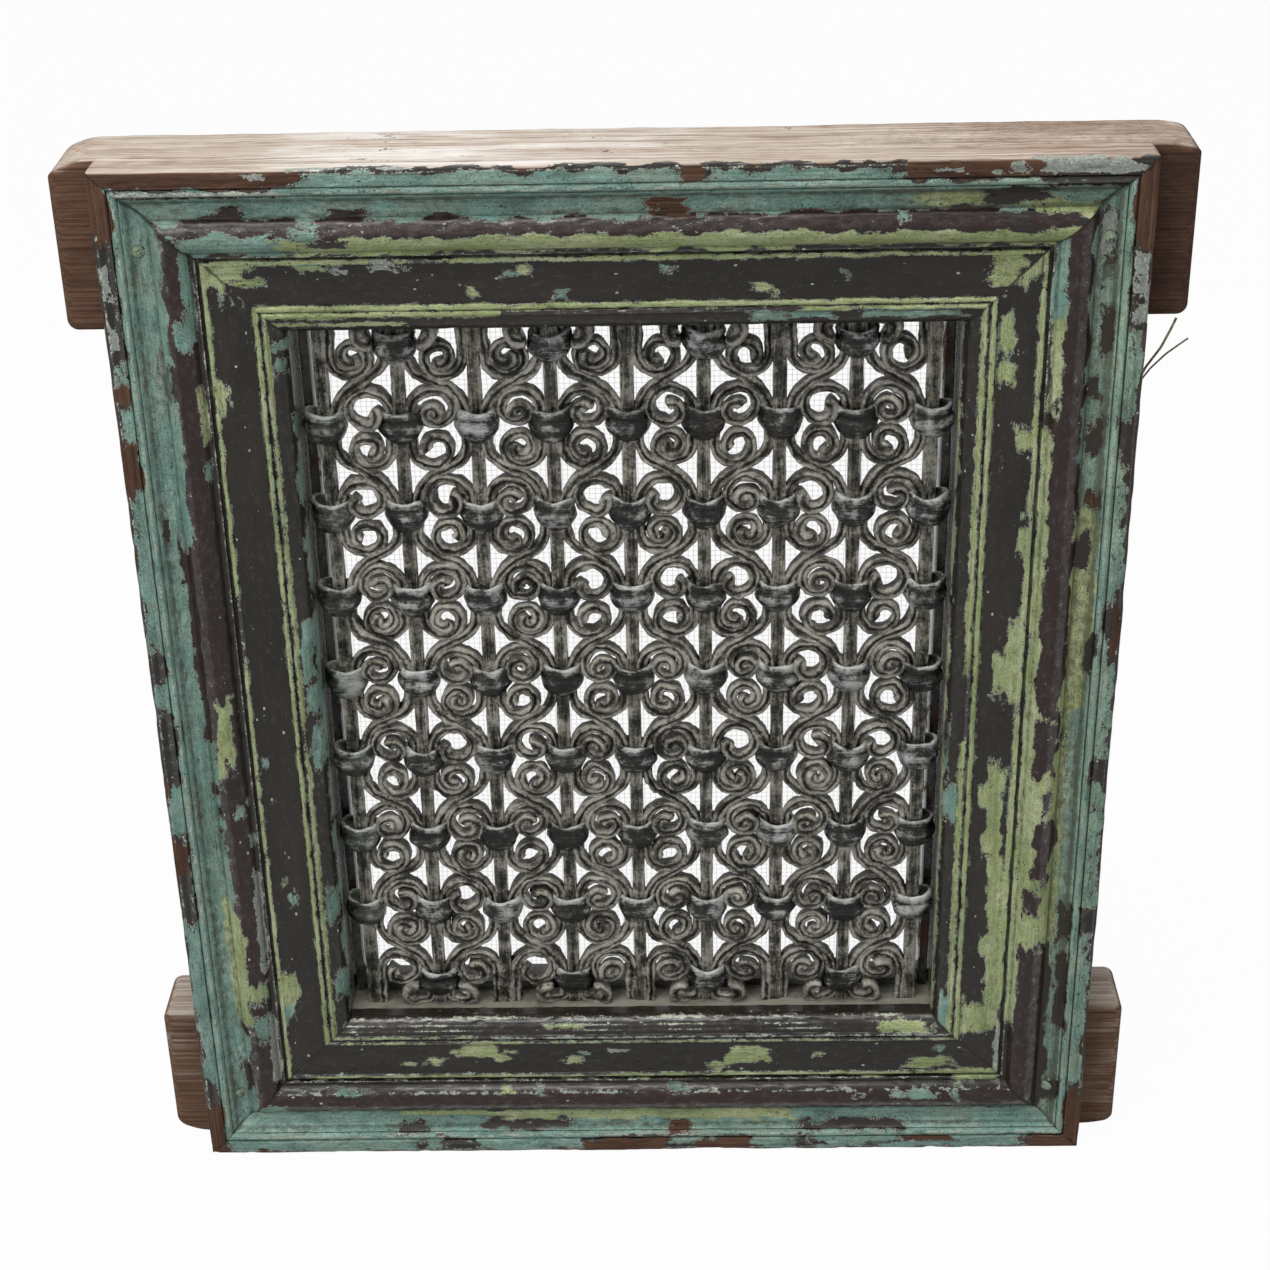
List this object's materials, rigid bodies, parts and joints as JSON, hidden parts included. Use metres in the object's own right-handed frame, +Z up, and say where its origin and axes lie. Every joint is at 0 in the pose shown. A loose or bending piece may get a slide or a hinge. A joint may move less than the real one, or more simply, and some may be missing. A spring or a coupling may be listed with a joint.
{
  "type": "window jali panel",
  "caption": "Forged iron jali grille of woven straps, scrolls and bowl collars on square bars, set in a moulded, mitred timber window frame with horns.",
  "frame": {"origin": "on the floor, under the middle of the sill and of the frame's depth", "axes": "+X to the viewer's right along the sill, +Z up, the moulded front looks along -Y"},
  "size_m": [0.832, 0.093, 0.892],
  "materials": {
    "painted_timber": "old hardwood under layers of teal, yellow-green and near-black oil paint, flaked and worn, bare and bleached on the outer faces",
    "peg_wood": "hardwood pegs trimmed flush, painted over at the front",
    "forged_iron": "forged iron, dusty brown-grey patina, traces of old paint",
    "collar_metal": "dark bluish-grey rubbed metal with dull glints",
    "screen_wire": "dull galvanised wire",
    "tack_iron": "small rusty tacks"
  },
  "bodies": {
    "root": {"head_rail": "painted_timber", "sill_rail": "painted_timber", "stile_left": "painted_timber", "stile_right": "painted_timber", "corner_pegs": "peg_wood", "bar_1": "forged_iron", "bar_2": "forged_iron", "bar_3": "forged_iron", "bar_4": "forged_iron", "bar_5": "forged_iron", "bar_6": "forged_iron", "bar_7": "forged_iron", "bar_8": "forged_iron", "bar_9": "forged_iron", "serpentine_1": "forged_iron", "serpentine_2": "forged_iron", "serpentine_3": "forged_iron", "serpentine_4": "forged_iron", "serpentine_5": "forged_iron", "serpentine_6": "forged_iron", "serpentine_7": "forged_iron", "serpentine_8": "forged_iron", "scrolls_1": "forged_iron", "scrolls_2": "forged_iron", "scrolls_3": "forged_iron", "scrolls_4": "forged_iron", "scrolls_5": "forged_iron", "scrolls_6": "forged_iron", "scrolls_7": "forged_iron", "scrolls_8": "forged_iron", "scrolls_9": "forged_iron", "collars_1": "collar_metal", "collars_2": "collar_metal", "collars_3": "collar_metal", "collars_4": "collar_metal", "collars_5": "collar_metal", "collars_6": "collar_metal", "collars_7": "collar_metal", "collars_8": "collar_metal", "collars_9": "collar_metal", "stop_left": "painted_timber", "stop_right": "painted_timber", "stop_head": "painted_timber", "stop_sill": "painted_timber", "fly_screen": "screen_wire", "screen_tacks": "tack_iron"}
  },
  "joints": []
}
